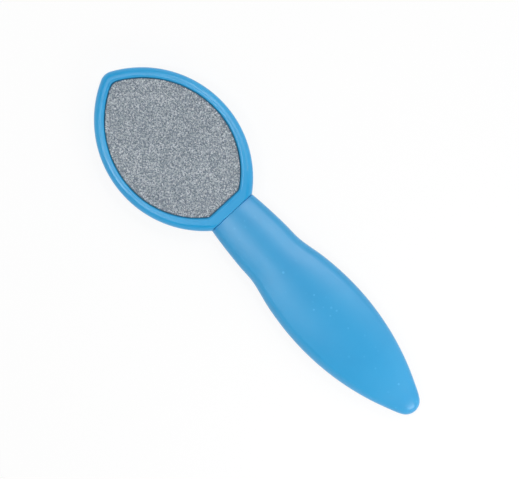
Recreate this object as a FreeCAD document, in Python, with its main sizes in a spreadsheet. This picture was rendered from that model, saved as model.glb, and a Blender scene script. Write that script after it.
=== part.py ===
import FreeCAD, Part
import math
import os
import Sketcher

# A two-sided foot file: a stiff head frame that holds an abrasive pad on each face, and a hollow handle
# of two half shells pinned through the frame's tang.
# Every piece is drawn in one frame: X runs along the tool from head to handle and is zero at the crease
# where they meet, Y runs across, and Z is zero at the middle of the thickness, with the coarse face up.

Vector = FreeCAD.Vector

# The driving sizes in millimetres: cell name, size, and what it measures.
SIZES = [
    ("head_reach", 39.8, "from the head's tip to its widest place"),
    ("head_neck_reach", 33.4, "from the head's widest place to the crease at the neck"),
    ("head_width", 53.4, "across the head at its widest"),
    ("head_neck_width", 21.4, "across the head at the crease"),
    ("head_thickness", 9.6, "crest to crest of the rim"),
    ("head_tip_radius", 5.6, "round of the head's tip, seen from the front"),
    ("rim_width", 4.0, "from the head's edge to the pad recess at the widest place"),
    ("rim_tip_width", 4.75, "from the head's tip to the pad recess"),
    ("rim_neck_width", 4.5, "from the crease to the pad recess"),
    ("rim_outer_round", 2.45, "round of the rim's outer edges"),
    ("rim_inner_round", 1.25, "round of the rim's edges round the recess"),
    ("crease_round", 0.3, "round of the head's edge at the crease"),
    ("recess_depth", 2.2, "from the rim's crest down to the pad's seat"),
    ("recess_neck_width", 15.8, "across the recess at its neck, before its corners are rounded"),
    ("recess_tip_radius", 3.5, "round of the recess's pointed end"),
    ("recess_corner_radius", 2.5, "round of the recess's two corners at the neck"),
    ("seat_ledge_width", 2.2, "ledge under the pad's edge, all round the recess"),
    ("web_thickness", 2.2, "plate in the middle of the head"),
    ("rib_thickness", 1.6, "ribs that carry the pads above the web"),
    ("pad_gap", 0.25, "between the pad's edge and the wall of its recess"),
    ("adhesive_thickness", 0.2, "film under each backing plate"),
    ("adhesive_margin", 0.8, "from the backing plate's edge to the film's edge"),
    ("backing_thickness", 1.0, "plate that carries the abrasive"),
    ("coarse_grit_thickness", 0.7, "abrasive layer on the front"),
    ("fine_grit_thickness", 0.5, "abrasive layer on the rear"),
    ("tang_length", 60.0, "from the crease to the end of the tang"),
    ("tang_thickness", 3.6, "through the tang"),
    ("tang_side_room", 2.2, "between the tang's edge and the shell's wall at the neck"),
    ("tang_slot_clearance", 0.15, "round the tang where it enters the handle"),
    ("front_pin_reach", 14.0, "from the crease to the first pin"),
    ("pin_diameter", 4.0, "pins that pass through the tang"),
    ("pin_clearance", 0.1, "round each pin in the tang and in its socket"),
    ("pin_engagement", 2.0, "length of each pin beyond the tang"),
    ("pin_end_gap", 0.3, "from the pin's end to the bottom of its socket"),
    ("boss_diameter", 8.0, "posts that clamp the tang"),
    ("handle_length", 105.9, "from the crease to the handle's tip"),
    ("handle_thickness", 10.8, "through the palm swell"),
    ("neck_length", 26.1, "from the crease to the shoulder"),
    ("neck_root_width", 21.3, "across the handle at the crease"),
    ("neck_width", 24.75, "across the handle at the shoulder"),
    ("neck_thickness", 9.5, "through the handle at the crease"),
    ("swell_reach", 55.2, "from the crease to the widest place of the palm swell"),
    ("swell_width", 32.6, "across the palm swell at its widest"),
    ("handle_tip_radius", 5.5, "round of the handle's tip, seen from the front"),
    ("handle_tip_side_radius", 3.2, "round of the handle's tip, seen from the side"),
    ("handle_end_round", 0.4, "round of the handle's edge at the crease"),
    ("shell_wall", 2.0, "wall of the handle's shells"),
    ("end_wall", 2.4, "wall of the shells at the crease"),
    ("seam_gap", 0.12, "hairline between the two shells"),
    ("cut_overrun", 1.0, "how far a cut runs past what it removes"),
    ("match_tolerance", 0.001, "how near two heights lie to count as one"),
]

# Stations of the handle, as shares of the neck's length, of the shoulder's way to the widest place, of
# the tail's length, and of the tip's radius measured back from the tip.
neck_shares = (0, 0.04, 0.12, 0.28, 0.5, 0.75, 0.93)
swell_shares = (0.07, 0.3, 0.53, 0.77, 1)
tail_shares = (0.16, 0.32, 0.48, 0.62, 0.75, 0.86, 0.94)
tip_shares = (0.45, 0.2, 0.06, 0.008)
cavity_neck_shares = (0.28, 0.5, 0.75, 0.93)
cavity_tail_shares = (0.16, 0.32, 0.48, 0.62, 0.72)
side_round_share = 0.74

# Cross ribs of the head, as shares of its reach before and behind its widest place.
tip_rib_shares = (0.24, 0.56)
neck_rib_shares = (0.12, 0.48)

# The most that the rim's outer round may take of the rim's width, and its inner round of what is left.
round_limit_share = 0.9

doc = FreeCAD.newDocument("FootFile")
sheet = doc.addObject("Spreadsheet::Sheet", "Sizes")
for row, (alias, size, note) in enumerate(SIZES, start=1):
    sheet.set(f"A{row}", note)
    sheet.set(f"B{row}", str(size))
    sheet.setAlias(f"B{row}", alias)
doc.recompute()
cells = {alias: f"Sizes.{alias}" for alias, size, note in SIZES}


def formula(text, **parts):
    """Write an expression in which each {name} is a cell or one of the given parts."""
    return "(" + text.format(**cells, **parts) + ")"


def number(expression):
    """Work out an expression on the present sizes."""
    return float(doc.Sizes.evalExpression(expression))


def new_body(label):
    """Start a piece whose frame stands at the middle of the tool's outline, on the plane it rests on."""
    body = doc.addObject("PartDesign::Body", label.title().replace("_", ""))
    body.Label = label
    middle = formula("({head_reach} + {head_neck_reach} - {handle_length}) / 2")
    body.setExpression("Placement.Base.x", middle)
    body.setExpression("Placement.Base.z", formula("max({head_thickness}; {handle_thickness}) / 2"))
    return body


def new_sketch(body, name, plane="XY_Plane", offset=formula("0")):
    """Start a sketch on one of the piece's own planes, moved along that plane's normal."""
    sketch = body.newObject("Sketcher::SketchObject", name)
    support = next(item for item in body.Origin.OriginFeatures if item.Role == plane)
    sketch.AttachmentSupport = [(support, "")]
    sketch.MapMode = "FlatFace"
    sketch.setExpression("AttachmentOffset.Base.z", offset)
    return sketch


def bind(sketch, kind, *where, size):
    """Add a dimension to a sketch and tie it to the sizes."""
    index = sketch.addConstraint(Sketcher.Constraint(kind, *where, number(size)))
    sketch.setExpression(f"Constraints[{index}]", size)


def relate(sketch, kind, *where):
    """Add a relation, such as tangent or equal, to a sketch."""
    sketch.addConstraint(Sketcher.Constraint(kind, *where))


def arc(sketch, centre, radius, start, end):
    """Draw an arc anticlockwise between two angles."""
    circle = Part.Circle(Vector(*centre, 0), Vector(0, 0, 1), radius)
    return sketch.addGeometry(Part.ArcOfCircle(circle, start, end))


def rectangle(sketch, left, right, half_height):
    """Draw a rectangle that is even about the X axis."""
    x0, x1, y = number(left), number(right), number(half_height)
    corners = [Vector(x0, -y), Vector(x1, -y), Vector(x1, y), Vector(x0, y)]
    lines = [sketch.addGeometry(Part.LineSegment(a, b)) for a, b in zip(corners, corners[1:] + corners[:1])]
    for line, following in zip(lines, lines[1:] + lines[:1]):
        relate(sketch, "Coincident", line, 2, following, 1)
    bottom, end, top, start = lines
    relate(sketch, "Horizontal", bottom)
    relate(sketch, "Horizontal", top)
    relate(sketch, "Vertical", start)
    relate(sketch, "Symmetric", end, 1, end, 2, -1)
    bind(sketch, "DistanceX", -1, 1, bottom, 1, size=left)
    bind(sketch, "DistanceX", -1, 1, bottom, 2, size=right)
    bind(sketch, "DistanceY", -1, 1, end, 2, size=half_height)


def circle(sketch, x, diameter):
    """Draw a circle on the X axis."""
    ring = sketch.addGeometry(Part.Circle(Vector(number(x), 0), Vector(0, 0, 1), number(diameter) / 2))
    relate(sketch, "PointOnObject", ring, 3, -1)
    bind(sketch, "DistanceX", -1, 1, ring, 3, size=x)
    bind(sketch, "Diameter", ring, size=diameter)


def pad(body, name, sketch, length, both_ways=False, downward=False):
    """Add material to a piece from a sketch."""
    feature = body.newObject("PartDesign::Pad", name)
    feature.Profile = sketch
    feature.SideType = "Symmetric" if both_ways else "One side"
    feature.Reversed = downward
    feature.setExpression("Length", length)
    return feature


def pocket(body, name, sketch, depth, upward=False):
    """Cut material from a piece, downward from a sketch unless told otherwise."""
    feature = body.newObject("PartDesign::Pocket", name)
    feature.Profile = sketch
    feature.Reversed = upward
    feature.setExpression("Length", depth)
    return feature


def fillet(body, name, base, edges, radius):
    """Round the given edges of a piece's last feature."""
    feature = body.newObject("PartDesign::Fillet", name)
    wanted = [any(edge.isSame(other) for other in edges) for edge in base.Shape.Edges]
    feature.Base = (base, [f"Edge{i}" for i, chosen in enumerate(wanted, 1) if chosen])
    feature.setExpression("Radius", radius)
    return feature


def crest_faces(shape):
    """Find the flat faces on the rim's two crests."""
    crest = number(half_head_thickness)
    near = number(formula("{match_tolerance}"))
    boxes = [(face, face.BoundBox) for face in shape.Faces]
    return [face for face, box in boxes if box.ZLength < near and abs(abs(box.ZMin) - crest) < near]


# Sizes of the head that several pieces follow.
half_head_width = formula("{head_width} / 2")
half_recess_width = formula("{head_width} / 2 - {rim_width}")
half_head_thickness = formula("{head_thickness} / 2")
seat_height = formula("{head_thickness} / 2 - {recess_depth}")
widest_place = formula("-{head_neck_reach}")
recess_neck = formula("-{rim_neck_width}")


def tip_curve(reach, half, tip_radius):
    """Radius of the sides that run from a widest place into the round of a tip."""
    return formula(
        "(({reach} - {tip})^2 / ({half} - {tip}) + {tip} + {half}) / 2",
        reach=reach, half=half, tip=tip_radius,
    )


def neck_curve(reach, half, end_half):
    """Radius of the sides that run from a widest place to a narrower end."""
    drop = formula("{half} - {end}", half=half, end=end_half)
    return formula("({reach}^2 + {drop}^2) / (2 * {drop})", reach=reach, drop=drop)


# The head's outline and the recess's outline, each as half its width and the radii of its sides.
head_curves = (
    half_head_width,
    tip_curve(formula("{head_reach}"), half_head_width, formula("{head_tip_radius}")),
    neck_curve(formula("{head_neck_reach}"), half_head_width, formula("{head_neck_width} / 2")),
)
recess_curves = (
    half_recess_width,
    tip_curve(formula("{head_reach} - {rim_tip_width}"), half_recess_width, formula("{recess_tip_radius}")),
    neck_curve(formula("{head_neck_reach} - {rim_neck_width}"), half_recess_width,
               formula("{recess_neck_width} / 2")),
)
outer_round = formula("min({rim_outer_round}; {share} * {rim_width})", share=round_limit_share)
inner_round = formula(
    "min({rim_inner_round}; {share} * ({rim_width} - {outer}))", share=round_limit_share, outer=outer_round
)


def head_outline(sketch, curves, inset, neck, tip_radius, corner_radius=None):
    """Draw a pointed oval from its curves, moved inward by an inset and cut off square at the neck, where
    its two corners are sharp unless they have a radius."""
    half, tip_side, neck_side = curves
    tip_rise = formula("{side} - {half}", side=tip_side, half=half)
    tip_side_radius = formula("{side} - {inset}", side=tip_side, inset=inset)
    neck_side_radius = formula("{side} - {inset}", side=neck_side, inset=inset)
    wide, end = number(widest_place), number(neck)
    tip_r, corner_r = number(tip_radius), number(corner_radius or formula("0"))
    tip_side_r, neck_side_r = number(tip_side_radius), number(neck_side_radius)
    rise = number(tip_rise)
    neck_rise = number(neck_side) - number(half)
    tip_run = math.sqrt((tip_side_r - tip_r) ** 2 - rise**2)
    tip_turn = math.atan2(rise, tip_run)
    corner_run = end - corner_r - wide
    corner_y = math.sqrt((neck_side_r - corner_r) ** 2 - corner_run**2) - neck_rise
    corner_turn = math.atan2(corner_y + neck_rise, corner_run)
    half_turn = math.pi
    quarter = math.pi / 2

    tip = arc(sketch, (wide - tip_run, 0), tip_r, half_turn - tip_turn, half_turn + tip_turn)
    low_tip_side = arc(sketch, (wide, rise), tip_side_r, half_turn + tip_turn, 3 * quarter)
    low_neck_side = arc(sketch, (wide, neck_rise), neck_side_r, 3 * quarter, 4 * quarter - corner_turn)
    edge = sketch.addGeometry(Part.LineSegment(Vector(end, -corner_y), Vector(end, corner_y)))
    high_neck_side = arc(sketch, (wide, -neck_rise), neck_side_r, corner_turn, quarter)
    high_tip_side = arc(sketch, (wide, -rise), tip_side_r, quarter, half_turn - tip_turn)

    smooth_run = [high_neck_side, high_tip_side, tip, low_tip_side, low_neck_side]
    if corner_radius:
        low_corner = arc(sketch, (end - corner_r, -corner_y), corner_r, -corner_turn, 0)
        high_corner = arc(sketch, (end - corner_r, corner_y), corner_r, 0, corner_turn)
        smooth_run = [edge, high_corner, *smooth_run, low_corner, edge]
        bind(sketch, "Radius", high_corner, size=corner_radius)
        relate(sketch, "Equal", high_corner, low_corner)
    else:
        relate(sketch, "Coincident", edge, 2, high_neck_side, 1)
        relate(sketch, "Coincident", low_neck_side, 2, edge, 1)
    for line, following in zip(smooth_run, smooth_run[1:]):
        relate(sketch, "Tangent", line, 2, following, 1)
    bind(sketch, "DistanceX", -1, 1, high_tip_side, 3, size=widest_place)
    bind(sketch, "DistanceY", high_tip_side, 3, -1, 1, size=tip_rise)
    relate(sketch, "Symmetric", high_tip_side, 3, low_tip_side, 3, -1)
    relate(sketch, "Vertical", high_tip_side, 3, high_neck_side, 3)
    relate(sketch, "Vertical", low_tip_side, 3, low_neck_side, 3)
    bind(sketch, "Radius", high_tip_side, size=tip_side_radius)
    relate(sketch, "Equal", high_tip_side, low_tip_side)
    bind(sketch, "Radius", high_neck_side, size=neck_side_radius)
    relate(sketch, "Equal", high_neck_side, low_neck_side)
    bind(sketch, "Radius", tip, size=tip_radius)
    relate(sketch, "Vertical", edge)
    bind(sketch, "DistanceX", -1, 1, edge, 1, size=neck)


def inner_outline(sketch, inset):
    """Draw the recess's outline, or one that lies further in by the same inset on every side."""
    head_outline(
        sketch,
        recess_curves,
        inset,
        formula("{neck} - {inset}", neck=recess_neck, inset=inset),
        formula("{recess_tip_radius}"),
        formula("{recess_corner_radius}"),
    )


# Half the handle's width and thickness along its length.
def eased(start, end, share):
    """Rise from one size to another along a parabola that levels off at the end."""
    return formula("{end} - ({end} - {start}) * (1 - {share})^2", start=start, end=end, share=share)


def tapered(half, tip_radius, along):
    """Half the tail's size along the arc that runs from its widest place to its tip's round."""
    bulge = tip_curve(formula("{handle_length} - {swell_reach}"), half, tip_radius)
    return formula("{half} - {bulge} + sqrt({bulge}^2 - {along}^2)", half=half, bulge=bulge, along=along)


def rounded(tip_radius, depth):
    """Half the tip's size at a depth behind its end."""
    return formula("sqrt(2 * {radius} * {depth} - {depth}^2)", radius=tip_radius, depth=depth)


half_root_width = formula("{neck_root_width} / 2")
half_neck_width = formula("{neck_width} / 2")
half_swell_width = formula("{swell_width} / 2")
half_neck_thickness = formula("{neck_thickness} / 2")
half_handle_thickness = formula("{handle_thickness} / 2")
plan_tip_radius = formula("{handle_tip_radius}")
side_tip_radius = formula("{handle_tip_side_radius}")


def half_thickness_at(x):
    """Half the handle's thickness between the crease and the palm swell."""
    return eased(half_neck_thickness, half_handle_thickness, formula("{x} / {swell_reach}", x=x))


def neck_station(share):
    x = formula("{share} * {neck_length}", share=share)
    return x, eased(half_root_width, half_neck_width, share), half_thickness_at(x)


def swell_station(share):
    x = formula("{neck_length} + {share} * ({swell_reach} - {neck_length})", share=share)
    return x, eased(half_neck_width, half_swell_width, share), half_thickness_at(x)


def tail_station(share):
    along = formula("{share} * ({handle_length} - {swell_reach})", share=share)
    half_width = tapered(half_swell_width, plan_tip_radius, along)
    half_thickness = tapered(half_handle_thickness, side_tip_radius, along)
    return formula("{swell_reach} + {along}", along=along), half_width, half_thickness


def tip_station(share):
    depth = formula("{share} * {handle_tip_side_radius}", share=share)
    x = formula("{handle_length} - {depth}", depth=depth)
    return x, rounded(plan_tip_radius, depth), rounded(side_tip_radius, depth)


def oval_section(body, name, x, half_width, half_thickness):
    """Draw a flat oval across the handle: two side arcs and two crowns, all tangent."""
    sketch = new_sketch(body, name, "YZ_Plane", x)
    side = formula("{share} * {half}", share=side_round_share, half=half_thickness)
    side_place = formula("{half} - {side}", half=half_width, side=side)
    crown = formula(
        "({place}^2 / ({half} - {side}) + {side} + {half}) / 2",
        place=side_place, half=half_thickness, side=side,
    )
    place, side_r, crown_r = number(side_place), number(side), number(crown)
    rise = crown_r - number(half_thickness)
    turn = math.atan2(rise, place)
    half_turn = math.pi
    right = arc(sketch, (place, 0), side_r, -turn, turn)
    top = arc(sketch, (0, -rise), crown_r, turn, half_turn - turn)
    left = arc(sketch, (-place, 0), side_r, half_turn - turn, half_turn + turn)
    bottom = arc(sketch, (0, rise), crown_r, half_turn + turn, 2 * half_turn - turn)
    loop = [right, top, left, bottom]
    for line, following in zip(loop, loop[1:] + loop[:1]):
        relate(sketch, "Tangent", line, 2, following, 1)
    relate(sketch, "PointOnObject", right, 3, -1)
    bind(sketch, "DistanceX", -1, 1, right, 3, size=side_place)
    bind(sketch, "Radius", right, size=side)
    relate(sketch, "Symmetric", right, 3, left, 3, -1, 1)
    relate(sketch, "Equal", right, left)
    bind(sketch, "Radius", top, size=crown)
    relate(sketch, "Equal", top, bottom)
    return sketch


def loft(body, name, kind, stations):
    """Run a smooth skin through ovals at the given stations."""
    sections = [oval_section(body, f"{name}Section{i}", *station) for i, station in enumerate(stations)]
    feature = body.newObject(f"PartDesign::{kind}", name)
    feature.Profile = sections[0]
    feature.Sections = sections[1:]
    return feature


# The tang and its pins, shared by the frame and both shells.
half_tang_width = formula("{neck_root_width} / 2 - {shell_wall} - {tang_side_room}")
half_tang_thickness = formula("{tang_thickness} / 2")
tang_end_centre = formula("{tang_length} - {half}", half=half_tang_width)
pin_places = (formula("{front_pin_reach}"), tang_end_centre)
pin_hole_diameter = formula("{pin_diameter} + 2 * {pin_clearance}")


def tang_outline(sketch):
    """Draw the tang: a strip that starts inside the rim and ends in a half circle."""
    root = formula("-{rim_neck_width} / 2")
    x0, x1, y = number(root), number(tang_end_centre), number(half_tang_width)
    low = sketch.addGeometry(Part.LineSegment(Vector(x0, -y), Vector(x1, -y)))
    tip = arc(sketch, (x1, 0), y, -math.pi / 2, math.pi / 2)
    high = sketch.addGeometry(Part.LineSegment(Vector(x1, y), Vector(x0, y)))
    start = sketch.addGeometry(Part.LineSegment(Vector(x0, y), Vector(x0, -y)))
    relate(sketch, "Tangent", low, 2, tip, 1)
    relate(sketch, "Tangent", tip, 2, high, 1)
    relate(sketch, "Coincident", high, 2, start, 1)
    relate(sketch, "Coincident", start, 2, low, 1)
    relate(sketch, "Horizontal", low)
    relate(sketch, "Vertical", start)
    relate(sketch, "PointOnObject", tip, 3, -1)
    bind(sketch, "DistanceX", -1, 1, tip, 3, size=tang_end_centre)
    bind(sketch, "Radius", tip, size=half_tang_width)
    bind(sketch, "DistanceX", -1, 1, start, 1, size=root)


def cross_rib(body, name, x, side):
    """Add a rib across the head that runs over the seat's ledge to the recess's side."""
    sketch = new_sketch(body, f"{name}Sketch")
    run = formula("{x} - {widest}", x=x, widest=widest_place)
    reach = formula("{half} - {side} + sqrt({side}^2 - {run}^2)", half=half_recess_width, side=side, run=run)
    left = formula("{x} - {rib_thickness} / 2", x=x)
    right = formula("{x} + {rib_thickness} / 2", x=x)
    rectangle(sketch, left, right, reach)
    pad(body, name, sketch, formula("2 * {seat}", seat=seat_height), both_ways=True)


def head_frame():
    """Rim, pad seats, web, ribs and tang, moulded in one."""
    body = new_body("head_frame")
    flush = formula("0")
    near = number(formula("{match_tolerance}"))
    ring_sketch = new_sketch(body, "RimSketch")
    head_outline(ring_sketch, head_curves, flush, flush, formula("{head_tip_radius}"))
    inner_outline(ring_sketch, formula("{seat_ledge_width}"))
    ring = pad(body, "Rim", ring_sketch, formula("{head_thickness}"), both_ways=True)
    doc.recompute()
    outer_edges = [
        edge
        for face in crest_faces(ring.Shape)
        for edge in face.OuterWire.Edges if edge.BoundBox.XLength > near
    ]
    rounded_ring = fillet(body, "RimOuterRound", ring, outer_edges, outer_round)
    doc.recompute()
    boxes = [(face, face.BoundBox) for face in rounded_ring.Shape.Faces]
    neck_edges = [edge for face, box in boxes if abs(box.XMin) < near for edge in face.OuterWire.Edges]
    fillet(body, "CreaseRound", rounded_ring, neck_edges, formula("{crease_round}"))

    web_sketch = new_sketch(body, "WebSketch")
    inner_outline(web_sketch, formula("{seat_ledge_width} / 2"))
    pad(body, "Web", web_sketch, formula("{web_thickness}"), both_ways=True)
    spine_sketch = new_sketch(body, "SpineSketch")
    spine_start = formula("{rim_tip_width} - {head_reach} - {head_neck_reach}")
    rectangle(spine_sketch, spine_start, recess_neck, formula("{rib_thickness} / 2"))
    pad(body, "Spine", spine_sketch, formula("2 * {seat}", seat=seat_height), both_ways=True)
    recess_tip_side, recess_neck_side = recess_curves[1:]
    for i, share in enumerate(tip_rib_shares):
        place = formula("-{head_neck_reach} - {share} * {head_reach}", share=share)
        cross_rib(body, f"TipRib{i}", place, recess_tip_side)
    for i, share in enumerate(neck_rib_shares):
        place = formula("({share} - 1) * {head_neck_reach}", share=share)
        cross_rib(body, f"NeckRib{i}", place, recess_neck_side)

    for name, sign, upward in (("Front", "", False), ("Rear", "-", True)):
        crest = formula("{sign}{half}", sign=sign, half=half_head_thickness)
        recess_sketch = new_sketch(body, f"{name}RecessSketch", offset=crest)
        inner_outline(recess_sketch, flush)
        recess = pocket(body, f"{name}Recess", recess_sketch, formula("{recess_depth}"), upward)
    doc.recompute()
    recess_edges = [
        edge
        for face in crest_faces(recess.Shape)
        for wire in face.Wires if not wire.isSame(face.OuterWire)
        for edge in wire.Edges
    ]
    fillet(body, "RimInnerRound", recess, recess_edges, inner_round)

    tang_sketch = new_sketch(body, "TangSketch")
    tang_outline(tang_sketch)
    pad(body, "Tang", tang_sketch, formula("{tang_thickness}"), both_ways=True)
    hole_sketch = new_sketch(body, "PinHoleSketch", offset=half_tang_thickness)
    for place in pin_places:
        circle(hole_sketch, place, pin_hole_diameter)
    pocket(body, "PinHoles", hole_sketch, formula("{tang_thickness}"))
    return body


def handle_shell(label, front):
    """One half of the handle, cut from the whole form at the middle of its thickness."""
    body = new_body(label)
    stations = [neck_station(share) for share in neck_shares]
    stations += [swell_station(share) for share in swell_shares]
    stations += [tail_station(share) for share in tail_shares]
    stations += [tip_station(share) for share in tip_shares]
    loft(body, "Skin", "AdditiveLoft", stations)
    sign = "" if front else "-"
    half_sketch = new_sketch(body, "HalfSketch", offset=formula("{sign}{seam_gap} / 2", sign=sign))
    rectangle(half_sketch, formula("-{cut_overrun}"), formula("{handle_length} + {cut_overrun}"),
              formula("{half} + {cut_overrun}", half=half_swell_width))
    depth = formula("{half} + {seam_gap} / 2 + {cut_overrun}", half=half_handle_thickness)
    half = pocket(body, "OtherHalf", half_sketch, depth, not front)
    doc.recompute()
    near = number(formula("{match_tolerance}"))
    boxes = [(edge, edge.BoundBox) for edge in half.Shape.Edges]
    end_edges = [edge for edge, box in boxes if abs(box.XMax) < near and box.ZLength > near]
    fillet(body, "EndRound", half, end_edges, formula("{handle_end_round}"))

    hollow = [neck_station(formula("{end_wall} / {neck_length}"))]
    hollow += [neck_station(share) for share in cavity_neck_shares]
    hollow += [swell_station(share) for share in swell_shares]
    hollow += [tail_station(share) for share in cavity_tail_shares]
    inset = [(x, *(formula("{half} - {shell_wall}", half=half) for half in halves)) for x, *halves in hollow]
    loft(body, "Cavity", "SubtractiveLoft", inset)

    slot_sketch = new_sketch(body, "TangSlotSketch", offset=formula("{half} + {tang_slot_clearance}",
                                                                    half=half_tang_thickness))
    slot_half_width = formula("{half} + {tang_slot_clearance}", half=half_tang_width)
    rectangle(slot_sketch, formula("-{cut_overrun}"), formula("{end_wall} + {cut_overrun}"), slot_half_width)
    pocket(body, "TangSlot", slot_sketch, formula("{tang_thickness} + 2 * {tang_slot_clearance}"))

    seat = formula("{sign}{half}", sign=sign, half=half_tang_thickness)
    for i, place in enumerate(pin_places):
        boss_sketch = new_sketch(body, f"BossSketch{i}", offset=seat)
        circle(boss_sketch, place, formula("{boss_diameter}"))
        rise = formula("{half} - {shell_wall} / 2 - {tang_thickness} / 2", half=half_thickness_at(place))
        pad(body, f"Boss{i}", boss_sketch, rise, downward=not front)
    pin_sketch = new_sketch(body, "PinSketch", offset=seat)
    for place in pin_places:
        circle(pin_sketch, place, formula("{pin_diameter}") if front else pin_hole_diameter)
    if front:
        pad(body, "Pins", pin_sketch, formula("{tang_thickness} + {pin_engagement}"), downward=True)
    else:
        pocket(body, "PinSockets", pin_sketch, formula("{pin_engagement} + {pin_end_gap}"))
    return body


def pad_layer(label, front, below, thickness, inset):
    """One flat layer of a pad, standing on what lies below it, seen outward from its seat."""
    body = new_body(label)
    base = formula("{sign}({seat} + {below})", sign="" if front else "-", seat=seat_height, below=below)
    sketch = new_sketch(body, "LayerSketch", offset=base)
    inner_outline(sketch, inset)
    pad(body, "Layer", sketch, thickness, downward=not front)
    return body


def pad_stack(grade, front):
    """Adhesive film, backing plate and abrasive of one face."""
    edge = formula("{pad_gap}")
    film = formula("{adhesive_thickness}")
    plate = formula("{backing_thickness}")
    grit = formula("{" + grade + "_grit_thickness}")
    return [
        pad_layer(f"{grade}_adhesive", front, formula("0"), film, formula("{pad_gap} + {adhesive_margin}")),
        pad_layer(f"{grade}_backing", front, film, plate, edge),
        pad_layer(f"{grade}_grit", front, formula("{film} + {plate}", film=film, plate=plate), grit, edge),
    ]


pieces = [head_frame(), handle_shell("front_handle_shell", True), handle_shell("rear_handle_shell", False)]
pieces += pad_stack("coarse", True) + pad_stack("fine", False)
doc.recompute()

for item in doc.Objects:
    if "Invalid" in item.State or "Error" in item.State:
        raise RuntimeError(f"{item.Name} failed: {item.State}")
    if item.TypeId in ("PartDesign::Pocket", "PartDesign::SubtractiveLoft"):
        if item.Shape.Volume >= item.BaseFeature.Shape.Volume:
            raise RuntimeError(f"{item.Name} of {item.getParent().Label} cuts nothing")
for piece in pieces:
    if piece.Shape.isNull() or not piece.Shape.isValid() or len(piece.Shape.Solids) != 1:
        raise RuntimeError(f"{piece.Label} is not one sound solid")

os.makedirs("parts", exist_ok=True)
for piece in pieces:
    piece.Shape.exportStep(f"parts/{piece.Label}.step")
    print(f"{piece.Label}: {piece.Shape.Volume:.1f} cubic millimetres")
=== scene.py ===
import bpy
import bmesh
import math
import random
from mathutils import Euler, Matrix, Vector
from mathutils.bvhtree import BVHTree


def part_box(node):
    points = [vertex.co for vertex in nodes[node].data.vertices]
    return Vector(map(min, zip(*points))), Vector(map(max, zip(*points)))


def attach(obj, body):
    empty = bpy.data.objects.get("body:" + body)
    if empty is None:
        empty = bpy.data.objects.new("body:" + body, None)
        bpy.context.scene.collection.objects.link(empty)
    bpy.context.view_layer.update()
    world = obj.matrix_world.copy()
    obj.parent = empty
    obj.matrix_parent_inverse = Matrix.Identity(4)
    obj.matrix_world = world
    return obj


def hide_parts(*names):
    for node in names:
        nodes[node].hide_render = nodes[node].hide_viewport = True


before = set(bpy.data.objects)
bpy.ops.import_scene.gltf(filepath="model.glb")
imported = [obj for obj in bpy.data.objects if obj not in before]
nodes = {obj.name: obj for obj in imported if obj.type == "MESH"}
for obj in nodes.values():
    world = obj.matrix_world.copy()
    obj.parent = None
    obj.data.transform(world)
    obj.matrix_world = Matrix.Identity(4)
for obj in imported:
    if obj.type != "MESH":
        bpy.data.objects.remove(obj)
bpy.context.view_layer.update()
scene = bpy.context.scene
scene.view_settings.view_transform = "Standard"
mm = 0.001
print("frame loaded with", len(nodes), "CAD nodes")


# Camera: straight down on the tool as it lies turned on the floor
topCamera = {
    "turn": 47.27,              # degrees from the tool's length to the frame's width
    "frameWidth": 519,          # pixels
    "pixel": 0.39216 * mm,      # one pixel on the tool
    "middle": (-0.76, 3.58),    # frame's middle from the tool's middle, in pixels right and up
    "height": 5.4 * mm,         # level at which a pixel has that size
    "lens": 120,
    "sensor": 36,
}


def addCamera(setup):
    data = bpy.data.cameras.new("topCamera")
    data.lens = setup["lens"]
    data.sensor_width = setup["sensor"]
    turn = Euler((0, 0, math.radians(setup["turn"])))
    distance = setup["frameWidth"] * setup["pixel"] * setup["lens"] / setup["sensor"]
    place = Vector((*setup["middle"], 0)) * setup["pixel"]
    place.rotate(turn)
    place.z = setup["height"] + distance
    camera = bpy.data.objects.new("topCamera", data)
    camera.location = place
    camera.rotation_euler = turn
    scene.collection.objects.link(camera)
    scene.camera = camera


addCamera(topCamera)
print("camera set")


# Shader sockets with arithmetic, and one way to add any node
class Wire:
    def __init__(self, tree, socket=None):
        self.tree = tree
        self.socket = socket

    def node(self, kind, settings=None, sockets=None, output=0):
        made = self.tree.nodes.new("ShaderNode" + kind)
        for name, value in (settings or {}).items():
            if name == "stops":
                while len(made.color_ramp.elements) < len(value):
                    made.color_ramp.elements.new(1)
                for element, (position, colour) in zip(made.color_ramp.elements, value):
                    element.position = position
                    element.color = (*colour, 1)
            else:
                setattr(made, name, value)
        for name, value in (sockets or {}).items():
            if isinstance(value, Wire):
                self.tree.links.new(value.socket, made.inputs[name])
            else:
                made.inputs[name].default_value = value
        return Wire(self.tree, made.outputs[output] if made.outputs else None)

    def calc(self, operation, first, second):
        return self.node("Math", {"operation": operation}, {0: first, 1: second})

    def __add__(self, other):
        return self.calc("ADD", self, other)

    def __radd__(self, other):
        return self.calc("ADD", other, self)

    def __sub__(self, other):
        return self.calc("SUBTRACT", self, other)

    def __rsub__(self, other):
        return self.calc("SUBTRACT", other, self)

    def __mul__(self, other):
        return self.calc("MULTIPLY", self, other)

    def __rmul__(self, other):
        return self.calc("MULTIPLY", other, self)

    def smooth(self, low, high):
        limits = {"Value": self, "From Min": low, "From Max": high}
        return self.node("MapRange", {"interpolation_type": "SMOOTHSTEP"}, limits)

    def blend(self, first, second):      # colours mixed by this value
        return self.node("Mix", {"data_type": "RGBA"}, {0: self, 6: first, 7: second}, 2)


def newMaterial(name):
    material = bpy.data.materials.new(name)
    material.use_nodes = True
    material.node_tree.nodes.clear()
    return material, Wire(material.node_tree)


halfway = 0.5      # middle of a noise value, and of a grain's draw


def noise(place, scale, detail=2.0):
    return place.node("TexNoise", None, {"Vector": place, "Scale": scale, "Detail": detail})


def surface(start, sockets):
    shader = start.node("BsdfPrincipled", None, sockets)
    start.node("OutputMaterial", None, {"Surface": shader})


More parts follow.
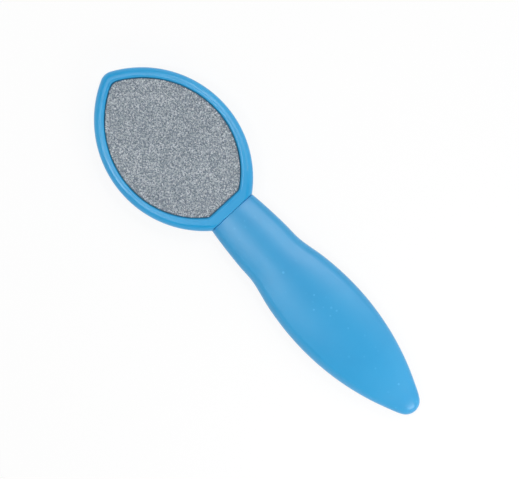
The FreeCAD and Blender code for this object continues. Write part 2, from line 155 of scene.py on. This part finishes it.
def plasticColour(place, look):
    return noise(place, look["flow"]).smooth(*look["drift"]).blend(look["deep"], look["light"])


def mouldedSurface(place, look, colour):
    rough = look["roughness"] + look["roughnessSwing"] * (noise(place, look["polish"]) - halfway)
    bump = place.node("Bump", None, {
        "Strength": look["grainStrength"], "Distance": look["grainHeight"],
        "Height": noise(place, look["grain"])})
    surface(place, {"Base Color": colour, "Roughness": rough, "Normal": bump,
                    "Specular IOR Level": look["gloss"]})


# Glossy moulded plastic of the head's frame
rimLook = {
    "deep": (0.009, 0.332, 0.675, 1),
    "light": (0.013, 0.358, 0.705, 1),
    "gloss": 0.75,         # specular level
    "roughness": 0.30,
    "roughnessSwing": 0.08,
    "flow": 55,            # scale of the colour's slow drift
    "drift": (0.3, 0.7),   # noise values at which it is deep and light
    "polish": 700,         # scale of the polish's unevenness
    "grain": 5200,         # scale of the mould's fine texture
    "grainHeight": 0.004 * mm,
    "grainStrength": 0.5,
}


def rimPlastic(look):
    material, start = newMaterial("rimPlastic")
    place = start.node("TexCoord", None, None, "Object")
    mouldedSurface(place, look, plasticColour(place, look))
    return material


# Soft-touch skin of the handle, with a few faint pale flecks along its back
gripLook = {
    "deep": (0.018, 0.306, 0.614, 1),
    "light": (0.024, 0.330, 0.644, 1),
    "fleck": (0.07, 0.43, 0.75, 1),
    "gloss": 0.75,
    "roughness": 0.36,
    "roughnessSwing": 0.10,
    "flow": 45,
    "drift": (0.3, 0.7),
    "polish": 900,
    "grain": 4200,
    "grainHeight": 0.008 * mm,
    "grainStrength": 0.5,
    "fleckScale": 480,
    "fleckSize": (0.30, 0.16),      # share of a cell where a fleck starts and is full
    "fleckChance": 0.60,            # cells above this value have a fleck
    "fleckBand": (7 * mm, 3 * mm),  # distance from the centre line where flecks start and are full
}


def gripSoftTouch(look):
    material, start = newMaterial("gripSoftTouch")
    place = start.node("TexCoord", None, None, "Object")
    plain = plasticColour(place, look)
    cells = {"Vector": place, "Scale": look["fleckScale"]}
    spot = start.node("TexVoronoi", None, cells, "Distance").smooth(*look["fleckSize"])
    tint = start.node("TexVoronoi", None, cells, "Color")
    draw = start.node("SeparateColor", None, {"Color": tint})
    chosen = draw.smooth(look["fleckChance"], 1)
    across = start.node("SeparateXYZ", None, {"Vector": place}, "Y")
    band = across.calc("ABSOLUTE", across, 0).smooth(*look["fleckBand"])
    mouldedSurface(place, look, (spot * chosen * band).blend(plain, look["fleck"]))
    return material


# Mineral grains in a dark resin bed; each grain carries its own draw from 0 to 1, and the bed has 0
gritLook = {
    "coarseGrains": [(0.0, (0.10, 0.13, 0.17)), (0.04, (0.20, 0.24, 0.29)), (0.35, (0.38, 0.43, 0.47)),
                     (0.75, (0.53, 0.58, 0.61)), (1.0, (0.76, 0.79, 0.80))],
    "fineGrains": [(0.0, (0.14, 0.16, 0.19)), (0.04, (0.28, 0.31, 0.35)), (0.5, (0.46, 0.49, 0.52)),
                   (1.0, (0.66, 0.68, 0.69))],
    "roughness": 0.62,
    "roughnessSwing": 0.4,
    "dust": 2600,                      # scale of the dust's patches
    "dustShare": 0.5,
    "dustColour": (0.42, 0.48, 0.54, 1),
    "draw": (0.06, 1),                 # a grain's place on the ramp of its stops
    "stretch": (0.8, 1.2),             # a grain's size along each of its axes, as a share of its radius
    "jitter": 0.3,                     # how far a grain leaves its place, as a share of the spacing
}


def gritMineral(name, stops, look):
    material, start = newMaterial(name)
    place = start.node("TexCoord", None, None, "Object")
    draw = start.node("Attribute", {"attribute_name": "grain"}, None, "Fac")
    stone = start.node("ValToRGB", {"stops": stops}, {"Fac": draw})
    dusty = (look["dustShare"] * noise(place, look["dust"])).blend(stone, look["dustColour"])
    rough = look["roughness"] - look["roughnessSwing"] * (draw - halfway)
    surface(start, {"Base Color": dusty, "Roughness": rough})
    return material


# Stiff dark sheet under the grit, and the film that holds it
sheetLook = {
    "backing": {"dark": (0.030, 0.034, 0.042, 1), "light": (0.055, 0.060, 0.070, 1),
                "roughness": 0.55, "mottle": 1400},
    "adhesive": {"dark": (0.62, 0.60, 0.53, 1), "light": (0.74, 0.73, 0.67, 1),
                 "roughness": 0.40, "mottle": 500},
    "roughnessSwing": 0.2,
    "detail": 4.0,
}


def sheetStock(name, look):
    material, start = newMaterial(name)
    place = start.node("TexCoord", None, None, "Object")
    mottle = noise(place, look["mottle"], sheetLook["detail"])
    colour = mottle.blend(look["dark"], look["light"])
    rough = look["roughness"] + sheetLook["roughnessSwing"] * (mottle - halfway)
    surface(start, {"Base Color": colour, "Roughness": rough})
    return material


finishes = {
    "head_frame": rimPlastic(rimLook),
    "front_handle_shell": gripSoftTouch(gripLook),
    "coarse_backing": sheetStock("backingSheet", sheetLook["backing"]),
    "coarse_adhesive": sheetStock("adhesiveFilm", sheetLook["adhesive"]),
}
finishes["rear_handle_shell"] = finishes["front_handle_shell"]
finishes["fine_backing"] = finishes["coarse_backing"]
finishes["fine_adhesive"] = finishes["coarse_adhesive"]
for name, finish in finishes.items():
    nodes[name].material_slots[0].material = finish
print("finishes on", len(finishes), "CAD nodes")


# Abrasive layers: a resin bed with loose-packed grains standing in it
coarseGrit = {
    "node": "coarse_grit",
    "slot": "coarse_abrasive",
    "outward": 1,
    "stops": gritLook["coarseGrains"],
    "bedDrop": 0.36 * mm,           # bed below the layer's working face
    "spacing": 0.62 * mm,
    "radius": (0.26 * mm, 0.42 * mm),
    "rise": (-0.04 * mm, 0.14 * mm),   # grain's middle above the bed
    "chip": 0.24,                   # how far a corner moves, as a share of the radius
    "edge": 0.20 * mm,              # kept free inside the outline
    "octahedra": False,
    "seed": 31,
}
fineGrit = {
    "node": "fine_grit",
    "slot": "fine_abrasive",
    "outward": -1,
    "stops": gritLook["fineGrains"],
    "bedDrop": 0.20 * mm,
    "spacing": 0.40 * mm,
    "radius": (0.17 * mm, 0.26 * mm),
    "rise": (-0.03 * mm, 0.06 * mm),
    "chip": 0.22,
    "edge": 0.12 * mm,
    "octahedra": True,
    "seed": 47,
}


weldGap = 0.0001 * mm      # corners nearer than this are one
levelGap = 0.001 * mm      # corners this near to the face lie in it


def addGrain(strip, setup, draws, place, layer):
    radius = draws.uniform(*setup["radius"])
    turn = Euler([draws.uniform(0, math.tau) for axis in range(3)]).to_matrix().to_4x4()
    stretch = Matrix.Diagonal([radius * draws.uniform(*gritLook["stretch"]) for axis in range(3)] + [1])
    fit = Matrix.Translation(place) @ turn @ stretch
    if setup["octahedra"]:
        made = bmesh.ops.create_uvsphere(strip, u_segments=4, v_segments=2, radius=1, matrix=fit)
    else:
        made = bmesh.ops.create_icosphere(strip, subdivisions=1, radius=1, matrix=fit)
    value = draws.uniform(*gritLook["draw"])
    chip = setup["chip"] * radius
    for corner in made["verts"]:
        corner.co += Vector([draws.uniform(-chip, chip) for axis in range(3)])
        corner[layer] = value


def addGrit(name, setup):
    cadMesh = nodes[setup["node"]].data
    low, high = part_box(setup["node"])
    face = high.z if setup["outward"] > 0 else low.z
    bedLevel = face - setup["outward"] * setup["bedDrop"]
    whole = bmesh.new()
    whole.from_mesh(cadMesh)
    bmesh.ops.remove_doubles(whole, verts=whole.verts, dist=weldGap)
    outline = BVHTree.FromBMesh(whole)
    lowered = [corner for corner in whole.verts if abs(corner.co.z - face) < levelGap]
    bmesh.ops.translate(whole, verts=lowered, vec=(0, 0, bedLevel - face))
    for side in whole.faces:
        side.smooth = False
    whole.verts.layers.float.new("grain")

    draws = random.Random(setup["seed"])
    above = face + setup["outward"] * mm
    inward = Vector((0, 0, -setup["outward"]))
    pitch = setup["spacing"]
    jitter = gritLook["jitter"]
    rowPitch = pitch * math.sqrt(3) / 2
    rim = setup["edge"]
    around = [(rim, 0), (-rim, 0), (0, rim), (0, -rim)]
    stripMesh = bpy.data.meshes.new("gritStrip")
    count = 0
    for row in range(int((high.y - low.y) / rowPitch) + 1):
        strip = bmesh.new()
        layer = strip.verts.layers.float.new("grain")
        for step in range(int((high.x - low.x) / pitch) + 1):
            x = low.x + (step + 0.5 * (row % 2)) * pitch + draws.uniform(-jitter, jitter) * pitch
            y = low.y + row * rowPitch + draws.uniform(-jitter, jitter) * pitch
            middle = bedLevel + setup["outward"] * draws.uniform(*setup["rise"])
            if all(outline.ray_cast(Vector((x + dx, y + dy, above)), inward)[0] for dx, dy in around):
                addGrain(strip, setup, draws, Vector((x, y, middle)), layer)
                count += 1
        strip.to_mesh(stripMesh)
        strip.free()
        whole.from_mesh(stripMesh)
    bpy.data.meshes.remove(stripMesh)

    mesh = bpy.data.meshes.new(name)
    whole.to_mesh(mesh)
    whole.free()
    mesh.materials.append(gritMineral(name + "Mineral", setup["stops"], gritLook))
    piece = bpy.data.objects.new(name, mesh)
    scene.collection.objects.link(piece)
    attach(piece, "root")
    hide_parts(setup["node"])
    print(name, "has", count, "grains and", len(mesh.polygons), "faces")


addGrit("coarseGritLayer", coarseGrit)
addGrit("fineGritLayer", fineGrit)


# Floor, white to the camera and to reflections, with the tool's soft shadow left in it
floorLook = {
    "size": 1.5,              # half of its side, in metres
    "paint": (0.95, 0.95, 0.95, 1),
    "white": (1, 1, 1, 1),
    "shadowShare": 0.12,      # how much of the lit floor shows through the white
}


def seenDirectly(start):
    rays = [start.node("LightPath", None, None, ray) for ray in
            ("Is Camera Ray", "Is Glossy Ray", "Is Transmission Ray")]
    return rays[0].calc("MINIMUM", rays[0] + rays[1] + rays[2], 1.0)


def addFloor(look):
    shape = bmesh.new()
    bmesh.ops.create_grid(shape, x_segments=1, y_segments=1, size=look["size"])
    mesh = bpy.data.meshes.new("floor")
    shape.to_mesh(mesh)
    shape.free()
    material, start = newMaterial("floorWhite")
    lit = start.node("BsdfDiffuse", None, {"Color": look["paint"]})
    white = start.node("Emission", None, {"Color": look["white"]})
    pale = start.node("MixShader", None, {0: look["shadowShare"], 1: white, 2: lit})
    shown = start.node("MixShader", None, {0: seenDirectly(start), 1: lit, 2: pale})
    start.node("OutputMaterial", None, {"Surface": shown})
    mesh.materials.append(material)
    floor = bpy.data.objects.new("floor", mesh)
    scene.collection.objects.link(floor)


addFloor(floorLook)

# Light: softboxes over the sides, head and tail, in a tent that is white low down and dark above
# A lamp's aim is the X of the point on the tool's axis, at floor level, that it faces
lampSetup = {
    "broadBox": {"place": (-0.11, 0.233, 0.50), "aim": -0.11, "size": (0.30, 0.10), "watts": 0.63},
    "sideBox": {"place": (0, 0.42, 0.50), "aim": 0, "size": (0.50, 0.30), "watts": 0.66},
    "neckBox": {"place": (-0.06, -0.134, 0.50), "aim": -0.06, "size": (0.16, 0.10), "watts": 0.30},
    "shoulderBox": {"place": (-0.16, -0.233, 0.50), "aim": -0.16, "size": (0.16, 0.10), "watts": 0.48},
    "headBox": {"place": (-0.16, 0, 0.60), "aim": 0.05, "size": (0.16, 0.10), "watts": 0.20},
    "tailBox": {"place": (0.24, 0, 0.16), "aim": 0.24, "size": (0.16, 0.16), "watts": 0.37},
}
tentLook = {
    "cloth": (1, 1, 1, 1),
    "white": 0.76,            # strength low down
    "ring": (0.70, 0.58),     # height of a direction at which the tent starts to show, and is full
}


def addLamps(setups):
    for name, setup in setups.items():
        data = bpy.data.lights.new(name, "AREA")
        data.shape = "RECTANGLE"
        data.size, data.size_y = setup["size"]
        data.energy = setup["watts"]
        lamp = bpy.data.objects.new(name, data)
        place = Vector(setup["place"])
        lamp.location = place
        aim = Vector((setup["aim"], 0, 0)) - place
        lamp.rotation_euler = aim.to_track_quat("-Z", "Y").to_euler()
        lamp.visible_camera = False
        scene.collection.objects.link(lamp)


def addTent(look):
    world = bpy.data.worlds.new("tent")
    world.use_nodes = True
    world.node_tree.nodes.clear()
    scene.world = world
    start = Wire(world.node_tree)
    outward = start.node("TexCoord", None, None, "Generated")
    height = start.node("SeparateXYZ", None, {"Vector": outward}, "Z")
    strength = look["white"] * height.smooth(*look["ring"])
    cloth = start.node("Background", None, {"Color": look["cloth"], "Strength": strength})
    seen = start.node("Background", None, {"Color": look["cloth"], "Strength": 1})
    camera = start.node("LightPath", None, None, "Is Camera Ray")
    tent = start.node("MixShader", None, {0: camera, 1: cloth, 2: seen})
    start.node("OutputWorld", None, {"Surface": tent})


addLamps(lampSetup)
addTent(tentLook)
print("floor and light set")
